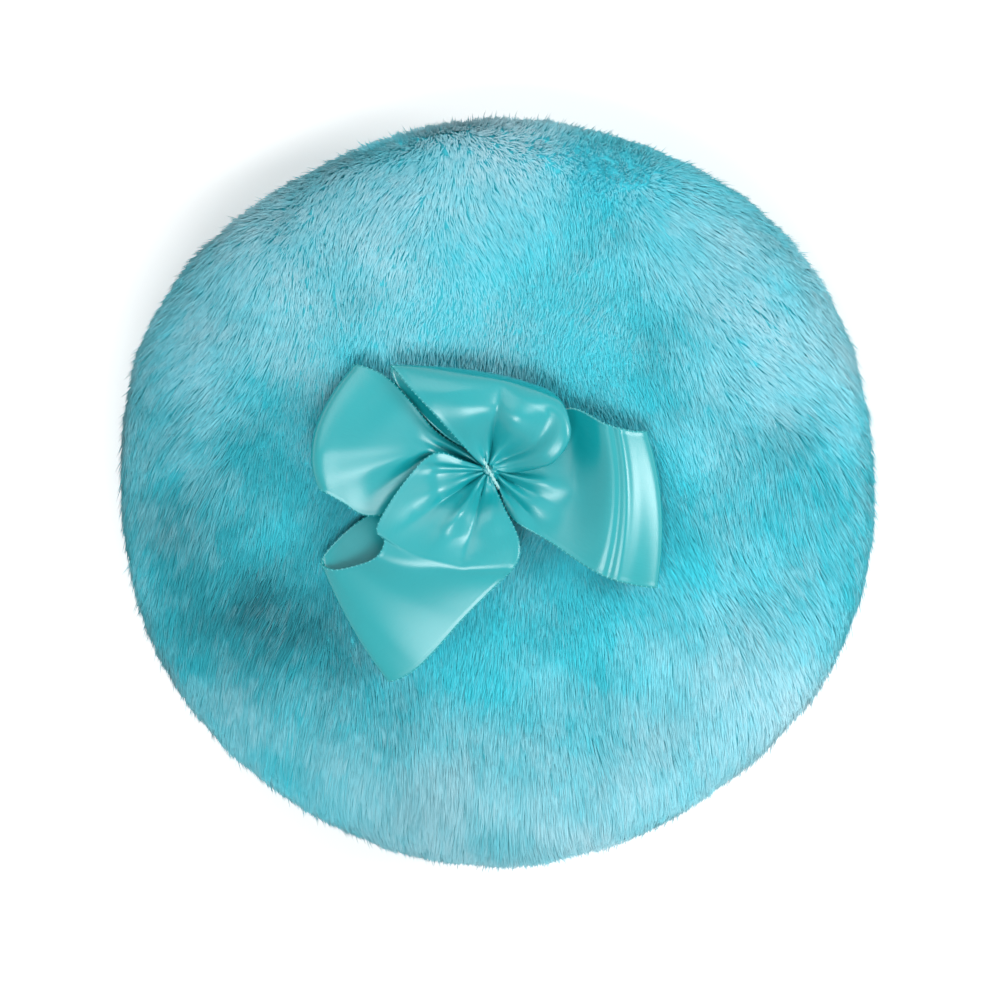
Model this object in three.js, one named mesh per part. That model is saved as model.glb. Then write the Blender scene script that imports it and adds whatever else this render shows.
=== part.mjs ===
// Plush powder puff with a satin ribbon bow tacked to its top.
// Millimetres, +Z up. It lies on its powder side at z = 0, centred on its outline.

import * as THREE from 'three';

// General
const clearance = 0.3;
const fullTurn = 2 * Math.PI;
const quarterTurn = Math.PI / 2;

// Puff body
const coverRadius = 51;
const coverThickness = 1;
const seamAllowance = 4;
const padThickness = 16;
const underPile = 8;
const crownPile = 11;
const rimPile = 14.5;
const flatCut = 0.5;
const roundShare = 0.75;
const rimWaist = 1.4;

// The tuft that the tack thread pulls in
const tuftDepth = 4.5;
const underTuftDepth = 1.5;
const tuftRadius = 14;

// The nap lies towards -Y and carries the outline with it
const napShift = 3.7;
const napHeading = THREE.MathUtils.degToRad(-65);

// Irregular outline: waves round the rim, each with its heading, as shares of the rim's pile
const outlineWaves = [
  { waves: 2, share: 0.04, heading: THREE.MathUtils.degToRad(9) },
  { waves: 3, share: 0.04, heading: THREE.MathUtils.degToRad(35) },
  { waves: 4, share: 0.02, heading: THREE.MathUtils.degToRad(-30) },
  { waves: 6, share: 0.035, heading: THREE.MathUtils.degToRad(-27) },
];

// Soft lumps in the pile, outside the bow's sweep
const lumpHeight = 0.7;
const lumpSpacing = 17;
const lumpsRound = 5;
const bowSweep = 40;

// Threads
const threadRadius = 0.3;
const overcastHeight = 2.6;
const overcastCount = 24;
const closingLength = 42;
const closingCount = 8;
const closingHeight = 2.4;
const closingHeading = THREE.MathUtils.degToRad(250);
const tackRadius = 0.5;
const knotRadius = 1.5;
const knotHeight = 2;

// Ribbon bow
const ribbonWidth = 25;
const ribbonThickness = 0.4;
const pleatDepth = 1.1;
const pleatReach = 15;
const gatherRadius = 2.5;
const gatherHeight = 6.4;
const gatherFoldCount = 7;
const gatherFoldShare = 0.12;
const gatherLevelShares = [0, 0.12, 0.35, 0.6, 0.82, 1];
const gatherSwellShares = [0.55, 1, 0.95, 0.9, 0.72, 0.4];
const stitchHeading = THREE.MathUtils.degToRad(-62);
const stitchSquareShare = 0.5;

// The pleats run on the upper half of a loop, before its fold
const upperRunShare = 0.5;
const railTensionShare = 0.5;
const slopeStepShare = 0.01;

// Facets
const roundSteps = 40;
const outerSteps = 10;
const innerSteps = 7;
const threadSides = 5;
const overcastSteps = 4;
const ribbonSteps = 26;
const ribbonStrips = 10;

// Ribbon loops. Each row is one place along the ribbon: one edge, the middle and the other
// edge, as x, y and z in shares of the ribbon's width, from the stitch and the gather's foot.
const leftLoopShares = [
  [[-0.15, 0.12, 0.17], [-0.18, 0.01, 0.18], [-0.15, -0.08, 0.16]],
  [[-0.35, 0.25, 0.25], [-0.44, 0.05, 0.3], [-0.44, -0.23, 0.22]],
  [[-0.52, 0.455, 0.3], [-0.74, 0.13, 0.37], [-0.8, -0.31, 0.27]],
  [[-0.7, 0.655, 0.31], [-0.99, 0.21, 0.39], [-0.99, -0.22, 0.28]],
  [[-0.91, 0.69, 0.22], [-1.17, 0.26, 0.25], [-1.13, -0.13, 0.21]],
  [[-0.74, 0.6, 0.13], [-1.02, 0.21, 0.14], [-0.97, -0.2, 0.14]],
  [[-0.42, 0.36, 0.1], [-0.54, 0.08, 0.1], [-0.51, -0.14, 0.12]],
  [[-0.15, 0.12, 0.08], [-0.17, 0.01, 0.08], [-0.14, -0.07, 0.09]],
];
const upperLoopShares = [
  [[-0.11, 0.1, 0.29], [0.05, 0.15, 0.28], [0.18, -0.03, 0.26]],
  [[-0.26, 0.26, 0.39], [0.12, 0.33, 0.46], [0.4, -0.02, 0.36]],
  [[-0.4, 0.41, 0.43], [0.1, 0.49, 0.47], [0.55, 0.15, 0.39]],
  [[-0.54, 0.56, 0.41], [0.02, 0.61, 0.41], [0.55, 0.37, 0.35]],
  [[-0.69, 0.68, 0.3], [-0.04, 0.655, 0.26], [0.44, 0.52, 0.24]],
  [[-0.53, 0.62, 0.19], [-0.03, 0.58, 0.12], [0.32, 0.46, 0.12]],
  [[-0.18, 0.33, 0.12], [0.01, 0.34, 0.08], [0.14, 0.25, 0.07]],
  [[-0.06, 0.14, 0.08], [0.01, 0.15, 0.05], [0.06, 0.13, 0.05]],
];
const rightLoopShares = [
  [[0.15, 0.07, 0.17], [0.16, -0.03, 0.18], [0.08, -0.16, 0.18]],
  [[0.3, 0.26, 0.2], [0.35, -0.08, 0.23], [0.17, -0.34, 0.22]],
  [[0.54, 0.42, 0.23], [0.58, -0.1, 0.27], [0.4, -0.48, 0.27]],
  [[0.79, 0.31, 0.35], [0.83, -0.2, 0.39], [0.74, -0.7, 0.34]],
  [[0.95, 0.265, 0.35], [1.02, -0.24, 0.38], [0.97, -0.775, 0.33]],
  [[1.06, 0.26, 0.23], [1.16, -0.25, 0.24], [1.13, -0.79, 0.21]],
  [[0.9, 0.25, 0.14], [0.93, -0.2, 0.14], [0.9, -0.7, 0.12]],
  [[0.44, 0.18, 0.09], [0.46, -0.08, 0.09], [0.38, -0.34, 0.09]],
  [[0.15, 0.04, 0.06], [0.16, 0.0, 0.06], [0.14, -0.06, 0.06]],
];
const lowerLoopShares = [
  [[-0.17, 0.06, 0.27], [-0.12, -0.11, 0.27], [0.045, -0.15, 0.25]],
  [[-0.37, 0.11, 0.37], [-0.27, -0.25, 0.42], [0.11, -0.27, 0.35]],
  [[-0.58, -0.1, 0.42], [-0.34, -0.43, 0.45], [0.19, -0.43, 0.4]],
  [[-0.73, -0.38, 0.42], [-0.34, -0.62, 0.455], [0.18, -0.64, 0.4]],
  [[-0.88, -0.63, 0.34], [-0.56, -0.84, 0.35], [-0.15, -0.98, 0.29]],
  [[-1.06, -0.67, 0.27], [-0.81, -1.02, 0.24], [-0.5, -1.33, 0.19]],
  [[-1.12, -0.585, 0.19], [-0.89, -1.03, 0.15], [-0.645, -1.435, 0.12]],
  [[-0.84, -0.32, 0.13], [-0.66, -0.68, 0.14], [-0.42, -1.03, 0.12]],
  [[-0.44, -0.15, 0.08], [-0.33, -0.32, 0.08], [-0.12, -0.46, 0.08]],
  [[-0.14, -0.04, 0.03], [-0.1, -0.1, 0.03], [-0.01, -0.15, 0.03]],
];

// Height of the gathered pleats from one edge of the ribbon to the other, as shares of their depth
const leftPleatShares = [0, 0.3, -0.2, 0.4, 0];
const upperPleatShares = [0, 0.6, 0.5, -1, 0.8, 0.3, -1, 0.7, 0];
const rightPleatShares = [0, 0.5, -0.7, 0.6, -0.4, 0];
const lowerPleatShares = [0, 0.8, 0, -0.9, 0.9, -0.7, 0.3, 0];

// Levels
const halfGap = clearance / 2;
const seamHeight = underPile + clearance + coverThickness + clearance + padThickness / 2;
const padRise = padThickness / 2;
const innerRise = padRise + clearance;
const coverRise = innerRise + coverThickness;
const stitchRoom = clearance + 2 * threadRadius + clearance;
const pileInnerRise = coverRise + clearance;
const crownRise = pileInnerRise + crownPile;
const underRise = seamHeight + flatCut;
const tackClearRadius = tackRadius + clearance;
const knotClearRadius = knotRadius + clearance;
const stitchReach = gatherRadius * (1 + gatherFoldShare) + clearance + threadRadius;
const bowFoot = seamHeight + crownRise - tuft(tuftDepth, stitchReach + threadRadius) + stitchRoom;

// One closed body from a grid of sections, each a ring of points. A wrapped grid joins its last
// section to its first; an open one ends in flat caps between the two halves of its end rings.
function gridBody(sections, wrapped) {
  const count = sections[0].length;
  const positions = sections.flat().flatMap((point) => [point.x, point.y, point.z]);
  const indices = [];
  const spans = wrapped ? sections.length : sections.length - 1;
  for (let row = 0; row < spans; row += 1) {
    const next = (row + 1) % sections.length;
    for (let column = 0; column < count; column += 1) {
      const beside = (column + 1) % count;
      const [here, there] = [row * count, next * count];
      indices.push(here + column, here + beside, there + beside);
      indices.push(here + column, there + beside, there + column);
    }
  }
  if (!wrapped) {
    addCap(indices, 0, count, true);
    addCap(indices, (sections.length - 1) * count, count, false);
  }
  return bodyGeometry(positions, indices);
}

// A strip of triangles across a ring whose two halves face each other
function addCap(indices, first, count, reversed) {
  for (let low = 0, high = count - 1; high - low > 1; low += 1, high -= 1) {
    const corners = [first + low, first + low + 1, first + high - 1, first + high];
    addTriangle(indices, [corners[0], corners[2], corners[1]], reversed);
    addTriangle(indices, [corners[0], corners[3], corners[2]], reversed);
  }
}

function addTriangle(indices, corners, reversed) {
  const [a, b, c] = corners;
  if (a === b || b === c || a === c) return;
  if (reversed) indices.push(a, b, c);
  else indices.push(a, c, b);
}

// Indexed geometry with its faces turned outwards
function bodyGeometry(positions, indices) {
  const geometry = new THREE.BufferGeometry();
  geometry.setAttribute('position', new THREE.Float32BufferAttribute(positions, 3));
  if (signedVolume(positions, indices) < 0) indices.reverse();
  geometry.setIndex(indices);
  geometry.computeVertexNormals();
  return geometry;
}

function signedVolume(positions, indices) {
  const corner = (index) => new THREE.Vector3().fromArray(positions, 3 * index);
  let volume = 0;
  for (let at = 0; at < indices.length; at += 3) {
    const [a, b, c] = [corner(indices[at]), corner(indices[at + 1]), corner(indices[at + 2])];
    volume += a.dot(b.cross(c)) / 6;
  }
  return volume;
}

// A ring of points about the tack, from a function that gives radius and height at a heading
function ringOf(place) {
  return Array.from({ length: roundSteps }, (_, step) => {
    const heading = (step / roundSteps) * fullTurn;
    const { radius, height } = place(heading);
    return new THREE.Vector3(radius * Math.cos(heading), radius * Math.sin(heading), height);
  });
}

// Depth of the tuft at a distance from the tack
function tuft(depth, radius) {
  return depth * Math.exp(-((radius / tuftRadius) ** 2));
}

// One domed face from its rim to its hole, above the seam for side 1 and below it for side -1
function domeRings(face, side, steps) {
  const rings = [];
  for (let step = 0; step <= steps; step += 1) {
    const swing = (step / steps) * quarterTurn;
    rings.push(ringOf((heading) => domePlace(face, side, swing, heading)));
  }
  return rings;
}

function domePlace(face, side, swing, heading) {
  const outRadius = face.radius(heading);
  const spread = Math.max(Math.cos(swing), 0) ** roundShare;
  const radius = face.hole + (outRadius - face.hole) * spread;
  const rise = face.base + (face.rise - face.base) * Math.sin(swing) ** roundShare;
  const relief = face.lump(radius, heading) - tuft(face.tuft, radius);
  const lifted = rise + relief * Math.sin(swing);
  return { radius, height: Math.max(seamHeight + side * Math.max(lifted, face.base), 0) };
}

const noLump = () => 0;

// Knit cover: a thin dome with its seam allowance turned inwards
function knitCover(side, tuftPull) {
  const outer = {
    radius: () => coverRadius,
    base: halfGap,
    rise: coverRise,
    hole: tackClearRadius,
    tuft: tuftPull,
    lump: noLump,
  };
  const innerRadius = coverRadius - coverThickness;
  const inner = { ...outer, radius: () => innerRadius, base: halfGap + coverThickness, rise: innerRise };
  const lipRadius = innerRadius - seamAllowance;
  const lip = (level) => ringOf(() => ({ radius: lipRadius, height: seamHeight + side * level }));
  const rings = [
    ...domeRings(outer, side, innerSteps),
    ...domeRings(inner, side, innerSteps).reverse(),
    lip(halfGap + coverThickness),
    lip(halfGap),
  ];
  return gridBody(rings, true);
}

// Wadding: a lens with a hole for the tack, inside the seam allowance and its stitches
function fillingPad() {
  const radius = coverRadius - coverThickness - seamAllowance - 2 * stitchRoom;
  const face = { radius: () => radius, base: halfGap, hole: tackClearRadius, lump: noLump, rise: padRise };
  const rings = [
    ...domeRings({ ...face, tuft: tuftDepth }, 1, innerSteps),
    ...domeRings({ ...face, tuft: underTuftDepth }, -1, innerSteps).reverse(),
  ];
  return gridBody(rings, true);
}

// Reach of the pile from the tack at a heading
function pileRadius(heading) {
  const reach = coverRadius + clearance + rimPile;
  let wave = 0;
  for (const { waves, share, heading: crest } of outlineWaves) {
    wave += share * rimPile * Math.cos(waves * (heading - crest));
  }
  return reach + wave + napShift * Math.cos(heading - napHeading);
}

// Soft lumps, none of them under the bow
function pileLump(radius, heading) {
  const clear = THREE.MathUtils.smoothstep(radius, bowSweep, bowSweep + lumpSpacing);
  const round = Math.cos(lumpsRound * heading + radius / lumpSpacing);
  const outward = Math.sin((radius / lumpSpacing) * fullTurn);
  return lumpHeight * clear * round * outward;
}

// Pile of one side: its inner face lies on the knit cover and its rim meets the other side's
function pileFaces(side) {
  const inner = {
    radius: () => coverRadius + stitchRoom,
    base: halfGap,
    rise: pileInnerRise,
    hole: side > 0 ? tackClearRadius : knotClearRadius,
    tuft: side > 0 ? tuftDepth : underTuftDepth,
    lump: noLump,
  };
  const outer = {
    ...inner,
    radius: pileRadius,
    rise: side > 0 ? crownRise : underRise,
    tuft: side > 0 ? tuftDepth : 0,
    lump: side > 0 ? pileLump : noLump,
    hole: side > 0 ? tackClearRadius : 0,
  };
  return { inner, outer };
}

// The rim is drawn in where the two sides meet
function waistRing(side) {
  const height = seamHeight + side * halfGap;
  return ringOf((heading) => ({ radius: pileRadius(heading) - rimWaist, height }));
}

function upperPile() {
  const { inner, outer } = pileFaces(1);
  const outerRings = domeRings(outer, 1, outerSteps);
  outerRings[0] = waistRing(1);
  return gridBody([...outerRings, ...domeRings(inner, 1, innerSteps).reverse()], true);
}

// The lower pile closes over the knot and is pressed flat where the puff lies on it
function lowerPile() {
  const { inner, outer } = pileFaces(-1);
  const outerRings = domeRings(outer, -1, outerSteps);
  outerRings[0] = waistRing(-1);
  outerRings.pop();
  const innerRings = domeRings(inner, -1, innerSteps);
  const pocketHeight = knotLevel() - knotHeight / 2 - clearance;
  innerRings.push(ringOf(() => ({ radius: knotClearRadius, height: pocketHeight })));
  return poleBody(outerRings, 0, innerRings, pocketHeight);
}

// A closed body between an outer and an inner face, each closed by a point on the axis
function poleBody(outerRings, outerHeight, innerRings, innerHeight) {
  const rings = [...outerRings.reverse(), ...innerRings];
  const positions = rings.flat().flatMap((point) => [point.x, point.y, point.z]);
  const indices = [];
  for (let row = 0; row < rings.length - 1; row += 1) {
    for (let column = 0; column < roundSteps; column += 1) {
      const beside = (column + 1) % roundSteps;
      const here = row * roundSteps;
      const there = here + roundSteps;
      indices.push(here + column, here + beside, there + beside);
      indices.push(here + column, there + beside, there + column);
    }
  }
  const firstPole = positions.length / 3;
  positions.push(0, 0, outerHeight, 0, 0, innerHeight);
  const lastRow = (rings.length - 1) * roundSteps;
  for (let column = 0; column < roundSteps; column += 1) {
    const beside = (column + 1) % roundSteps;
    indices.push(firstPole, beside, column);
    indices.push(firstPole + 1, lastRow + column, lastRow + beside);
  }
  return bodyGeometry(positions, indices);
}

// A thread ring or stretch on a cylinder about the tack, waving up and down
function wavyThread(radius, height, startHeading, sweep, waves, wrapped) {
  const steps = waves * overcastSteps;
  const sections = [];
  const last = wrapped ? steps - 1 : steps;
  for (let step = 0; step <= last; step += 1) {
    const heading = startHeading + (step / steps) * sweep;
    const swing = (step / overcastSteps) * fullTurn + quarterTurn / 2;
    const rise = (height / 2 - threadRadius) * Math.sin(swing);
    sections.push(threadSection(radius, heading, seamHeight + rise));
  }
  return gridBody(sections, wrapped);
}

function threadSection(radius, heading, height) {
  return Array.from({ length: threadSides }, (_, side) => {
    const turn = (side / threadSides) * fullTurn;
    const out = radius + threadRadius * Math.cos(turn);
    const up = height + threadRadius * Math.sin(turn);
    return new THREE.Vector3(out * Math.cos(heading), out * Math.sin(heading), up);
  });
}

// Overcast stitches along the raw edges inside the rim
function rimSeamThread() {
  const radius = coverRadius - coverThickness - seamAllowance - clearance - threadRadius;
  return wavyThread(radius, overcastHeight, 0, fullTurn, overcastCount, true);
}

// Ladder stitches that close the gap the puff was turned and filled through
function closingStitches() {
  const radius = coverRadius + clearance + threadRadius;
  const sweep = closingLength / radius;
  return wavyThread(radius, closingHeight, closingHeading - sweep / 2, sweep, closingCount, false);
}

// Height of the lower cover's underside at the tack
function lowerCoverLevel() {
  return seamHeight - coverRise + underTuftDepth;
}

function knotLevel() {
  return lowerCoverLevel() - clearance - knotHeight / 2;
}

// The thread shank runs from the knot up to the bow's foot
function tackThread() {
  const foot = knotLevel() + knotHeight / 2 + clearance;
  const top = bowFoot - clearance - 2 * threadRadius - clearance;
  const geometry = new THREE.CylinderGeometry(tackRadius, tackRadius, top - foot, 2 * threadSides);
  geometry.rotateX(quarterTurn);
  geometry.translate(0, 0, (top + foot) / 2);
  return geometry;
}

function tackKnot() {
  const geometry = new THREE.SphereGeometry(knotRadius, 2 * threadSides, threadSides);
  geometry.rotateX(quarterTurn);
  geometry.scale(1, 1, knotHeight / (2 * knotRadius));
  geometry.translate(0, 0, knotLevel());
  return geometry;
}

// The smooth curve through one column of a table of shares
function rail(shares, column) {
  const points = shares.map((row) => new THREE.Vector3(...row[column]).multiplyScalar(ribbonWidth));
  return new THREE.CatmullRomCurve3(points, false, 'catmullrom', railTensionShare);
}

// Value of evenly spaced shares at a place from 0 to 1
function shareAt(shares, place) {
  const at = Math.min(Math.max(place, 0), 1) * (shares.length - 1);
  const low = Math.min(Math.floor(at), shares.length - 2);
  const blend = THREE.MathUtils.smoothstep(at - low, 0, 1);
  return THREE.MathUtils.lerp(shares[low], shares[low + 1], blend);
}

// A parabola from 0 to 0, with its top of 1 half way
function hump(share) {
  return 4 * share * (1 - share);
}

// Middle surface of a ribbon loop: along from 0 to 1, across from -1 to 1
function ribbonPlace(loop, along, across) {
  const [left, middle, right] = loop.rails.map((curve) => curve.getPoint(along));
  const place = left.multiplyScalar((across * across - across) / 2);
  place.addScaledVector(middle, 1 - across * across);
  place.addScaledVector(right, (across * across + across) / 2);
  const fade = hump(Math.hypot(place.x, place.y) / pleatReach);
  if (along < upperRunShare && fade > 0) {
    place.z += pleatDepth * fade * shareAt(loop.pleats, (across + 1) / 2);
  }
  return place;
}

function ribbonNormal(loop, along, across) {
  const before = Math.max(along - slopeStepShare, 0);
  const after = Math.min(along + slopeStepShare, 1);
  const forward = ribbonPlace(loop, after, across).sub(ribbonPlace(loop, before, across));
  const low = Math.max(across - slopeStepShare, -1);
  const high = Math.min(across + slopeStepShare, 1);
  const sideways = ribbonPlace(loop, along, high).sub(ribbonPlace(loop, along, low));
  return forward.cross(sideways).normalize();
}

// A loop of ribbon as a thin body: out from the stitch, over its fold and back beneath
function ribbonLoop(shares, pleats) {
  const loop = { rails: [0, 1, 2].map((column) => rail(shares, column)), pleats };
  const sections = [];
  for (let step = 0; step <= ribbonSteps; step += 1) {
    const along = step / ribbonSteps;
    const upper = [];
    const lower = [];
    for (let strip = 0; strip <= ribbonStrips; strip += 1) {
      const across = (2 * strip) / ribbonStrips - 1;
      const place = ribbonPlace(loop, along, across);
      const out = ribbonNormal(loop, along, across).multiplyScalar(ribbonThickness / 2);
      upper.push(place.clone().add(out));
      lower.push(place.clone().sub(out));
    }
    sections.push([...upper, ...lower.reverse()]);
  }
  return gridBody(sections, false);
}

// The pinched middle of the bow, with its folds drawn in under the stitch
function bowGather() {
  const fold = (heading) => 1 + gatherFoldShare * Math.cos(gatherFoldCount * heading);
  const sections = gatherLevelShares.map((level, index) => ringOf((heading) => ({
    radius: gatherRadius * gatherSwellShares[index] * fold(heading),
    height: level * gatherHeight,
  })));
  return gridBody(sections, false);
}

// One turn of thread round the gather
function centreStitch() {
  const low = -clearance - threadRadius;
  const high = gatherHeight + clearance + threadRadius;
  const middle = (low + high) / 2;
  const sections = [];
  for (let step = 0; step < roundSteps / 2; step += 1) {
    const turn = (step / (roundSteps / 2)) * fullTurn;
    const out = stitchReach * squared(Math.cos(turn));
    const up = (high - low) / 2 * squared(Math.sin(turn));
    sections.push(stitchSection(out, up, middle, turn));
  }
  return gridBody(sections, true);
}

// A sine or cosine that fills out its turn towards a square
function squared(value) {
  return Math.sign(value) * Math.abs(value) ** stitchSquareShare;
}

function stitchSection(out, up, middle, turn) {
  return Array.from({ length: threadSides }, (_, side) => {
    const angle = (side / threadSides) * fullTurn;
    const along = out + threadRadius * Math.cos(angle) * Math.cos(turn);
    const aside = threadRadius * Math.sin(angle);
    const height = middle + up + threadRadius * Math.cos(angle) * Math.sin(turn);
    return new THREE.Vector3(along, aside, height).applyAxisAngle(new THREE.Vector3(0, 0, 1), stitchHeading);
  });
}

// Materials
const plush = (color) => new THREE.MeshStandardMaterial({ color, roughness: 0.95, metalness: 0 });
const satin = (color) => new THREE.MeshStandardMaterial({ color, roughness: 0.3, metalness: 0 });
const pileMaterial = plush(0x62bccb);
const knitMaterial = plush(0x3fa3b3);
const waddingMaterial = plush(0xf2f2ee);
const threadMaterial = plush(0x8fd8de);
const satinMaterial = satin(0x64c3ca);

function named(name, geometry, material) {
  const mesh = new THREE.Mesh(geometry, material.clone());
  mesh.name = name;
  return mesh;
}

function puffBody() {
  const body = new THREE.Group();
  body.add(
    named('lower_pile', lowerPile(), pileMaterial),
    named('lower_knit_cover', knitCover(-1, underTuftDepth), knitMaterial),
    named('filling_pad', fillingPad(), waddingMaterial),
    named('upper_knit_cover', knitCover(1, tuftDepth), knitMaterial),
    named('upper_pile', upperPile(), pileMaterial),
    named('rim_seam_thread', rimSeamThread(), threadMaterial),
    named('closing_stitches', closingStitches(), threadMaterial),
    named('tack_thread', tackThread(), threadMaterial),
    named('tack_knot', tackKnot(), threadMaterial),
  );
  return body;
}

function ribbonBow() {
  const bow = new THREE.Group();
  bow.add(
    named('bow_left_loop', ribbonLoop(leftLoopShares, leftPleatShares), satinMaterial),
    named('bow_upper_loop', ribbonLoop(upperLoopShares, upperPleatShares), satinMaterial),
    named('bow_right_loop', ribbonLoop(rightLoopShares, rightPleatShares), satinMaterial),
    named('bow_lower_loop', ribbonLoop(lowerLoopShares, lowerPleatShares), satinMaterial),
    named('bow_gather', bowGather(), satinMaterial),
    named('bow_centre_stitch', centreStitch(), threadMaterial),
  );
  bow.position.z = bowFoot;
  return bow;
}

// The puff is centred on its outline, so the tack stands a little off the origin
const puff = new THREE.Group();
puff.add(puffBody(), ribbonBow());
const outline = new THREE.Box3().setFromObject(puff);
puff.position.x = -(outline.min.x + outline.max.x) / 2;
puff.position.y = -(outline.min.y + outline.max.y) / 2;

export default puff;
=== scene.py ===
import math

import bpy
import numpy as np
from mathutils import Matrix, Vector
from mathutils.bvhtree import BVHTree
from mathutils.kdtree import KDTree


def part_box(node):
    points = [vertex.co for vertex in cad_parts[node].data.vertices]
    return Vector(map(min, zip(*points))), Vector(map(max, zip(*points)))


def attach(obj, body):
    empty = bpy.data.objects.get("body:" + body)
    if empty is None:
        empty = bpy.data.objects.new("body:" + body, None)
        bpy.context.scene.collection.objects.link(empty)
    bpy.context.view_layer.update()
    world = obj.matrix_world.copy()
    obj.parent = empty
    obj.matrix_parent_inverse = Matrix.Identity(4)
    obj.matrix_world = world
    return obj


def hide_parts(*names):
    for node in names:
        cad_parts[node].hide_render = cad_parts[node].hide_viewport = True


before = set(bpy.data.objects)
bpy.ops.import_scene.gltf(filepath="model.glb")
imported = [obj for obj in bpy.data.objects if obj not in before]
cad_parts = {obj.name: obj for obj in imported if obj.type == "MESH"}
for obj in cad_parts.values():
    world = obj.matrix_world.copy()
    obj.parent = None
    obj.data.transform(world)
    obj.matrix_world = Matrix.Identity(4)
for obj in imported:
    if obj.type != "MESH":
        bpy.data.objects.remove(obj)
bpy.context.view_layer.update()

# Round plush powder puff with a satin ribbon bow. Metres, in the frame's axes.


def node_box(name):
    low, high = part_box(name)
    return np.array(low), np.array(high)


# Places and sizes that the frame gives
TACK_LOW, TACK_HIGH = node_box("tack_thread")
COVER_LOW, COVER_HIGH = node_box("upper_knit_cover")
PAD_LOW, PAD_HIGH = node_box("filling_pad")
SEAM_LOW, SEAM_HIGH = node_box("rim_seam_thread")
CLOSING_LOW, CLOSING_HIGH = node_box("closing_stitches")
KNOT_LOW, KNOT_HIGH = node_box("tack_knot")
GATHER_LOW, GATHER_HIGH = node_box("bow_gather")
STITCH_LOW, STITCH_HIGH = node_box("bow_centre_stitch")
TACK = (TACK_LOW + TACK_HIGH) / 2
SEAM_HEIGHT = (SEAM_LOW[2] + SEAM_HIGH[2]) / 2
CENTRE = np.array([TACK[0], TACK[1], SEAM_HEIGHT])
BOW_FOOT = np.array([TACK[0], TACK[1], GATHER_LOW[2]])

# Pile: counts, radii and how the fibres stand and lie
STRAND_COUNT = 210000
PIECE_STRANDS = 12000
STRAND_RADIUS = 0.00011
PILE_SHOWN = 0.0013
UNDER_SHOWN = 0.0012
UNDERSIDE = (0.5, 0.9)
UNDER_DENSITY = 0.45
ROOT_SUNK = 0.0004
LEAN = 0.0044
CROWN_LEAN_SHARE = 0.5
LEAN_SPREAD = (0.7, 1.15)
TIP_SPREAD = (-0.0007, 0.0003)
TIP_SCATTER = 0.00016
BEND_RISE = 0.85
BEND_REACH = 0.2
CROWN_TO_RIM = (0.02, 0.058)
LOCK_SIZE = 0.006
LOCK_HEIGHT = 0.0004
CLUMP_COUNT = 11500
CLUMP_SWAY = 0.22
CLUMP_LEAN_SPREAD = (0.65, 1.2)
CLUMP_PULL = (0.15, 0.5)
CROWN_PULL_SHARE = 0.4
BOW_SWEEP = 0.036
SWEEP_END = BOW_SWEEP + 0.006
BRUSHED_DEPTH = 0.0004
STRAY_SHARE = 0.05
STRAY_REACH = 0.0012
LOWEST_TIP = 0.0002
LOWEST_BEND = 0.0004
SMOOTH_SHARE = 0.9
NAP = np.array([0.05, -1.0, -0.12])
OUTWARD = (0.15, 0.25)
WANDER = 0.3
WANDER_SIZE = 0.014
WANDER_SEEDS = (11, 12, 13)
THINNEST_BASE = 0.0006
THINNEST_SHARE = 1.02

# Tones of the pile: painted sheen on the tips and painted light and shade on the body. Waves are amount,
# size in metres and seed.
MM = 0.001
PALE_GROUND = 0.03
PALE_WAVES = [(0.14, 0.008, 5)]
BRIGHT_GROUND = 0.72
BRIGHT_WAVES = [(0.12, 0.012, 17), (0.1, 0.005, 19)]
# The rim's band, where painted light brightens the pile's body, and how much
BRIGHT_RIM = (0.053, 0.063)
RIM_LIGHT = 0.2
CLUMP_TONE = (0.08, 0.16)
PALE_SPREAD = 0.05
BRIGHT_SPREAD = 0.06

# Ribbon
RIBBON_WIDTH = 0.025
RIBBON_THICKNESS = 0.0003
SELVAGE_WIDTH = 0.0006
SELVAGE_FLAT_SHARE = 0.6
SELVAGE_THICKNESS = 0.00045
PICOT_PITCH = 0.0009
PICOT_LENGTH = 0.0003
PICOT_RADIUS = 0.00009
PICOT_MARGIN = 0.004
PICOT_TUCK = 0.7
LOOP_STEPS = 150
LOOP_STRIPS = 72

# Threads. Swings are full waves along the thread.
THREAD_RADIUS = 0.0003
PLY_TWIST = 0.0016
PLY_OFFSET = 0.45
PLY_RADIUS = 0.55
TUBE_SIDES = 6
OVERCAST_STEPS = 1600
OVERCAST_SWINGS = 96
LADDER_STEPS = 420
LADDER_SWINGS = 8
SHANK_STEPS = 60
KNOT_STEPS = 600
KNOT_TURNS = 4
KNOT_SWINGS = 7
KNOT_SWING = 0.45
STITCH_HEADING = math.radians(-62)
STITCH_STEPS = 240
STITCH_SQUARENESS = 0.6

# Knit and wadding
COVER_THICKNESS = 0.001
SEAM_ALLOWANCE = 0.004
PAD_RISE = 0.008
ROUND_SHARE = 0.75
TUFT_DEPTH = 0.0045
UNDER_TUFT_DEPTH = 0.0015
TUFT_RADIUS = 0.014
PUCKER = 0.0002
PUCKER_FOLDS = 17
FINE_PUCKER_FOLDS = 29
FINE_PUCKER_SHARE = 0.6
PUCKERED_TO = 0.012
UNPUCKERED_TO = 0.003
LUMP_WAVES = [(0.00035, 0.007, 41), (0.0002, 0.003, 42)]
LUMP_SUNK = 0.00055
LUMPS_RISE = (0.001, 0.006)
CLEARANCE = 0.0003
HOLE_RADIUS = TACK_HIGH[0] - TACK[0] + CLEARANCE


def linear(red, green, blue):
    """A colour of 0 to 255 as Blender's linear one."""
    shares = [value / 255 for value in (red, green, blue)]
    return [s / 12.92 if s <= 0.04045 else ((s + 0.055) / 1.055) ** 2.4 for s in shares] + [1.0]


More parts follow.
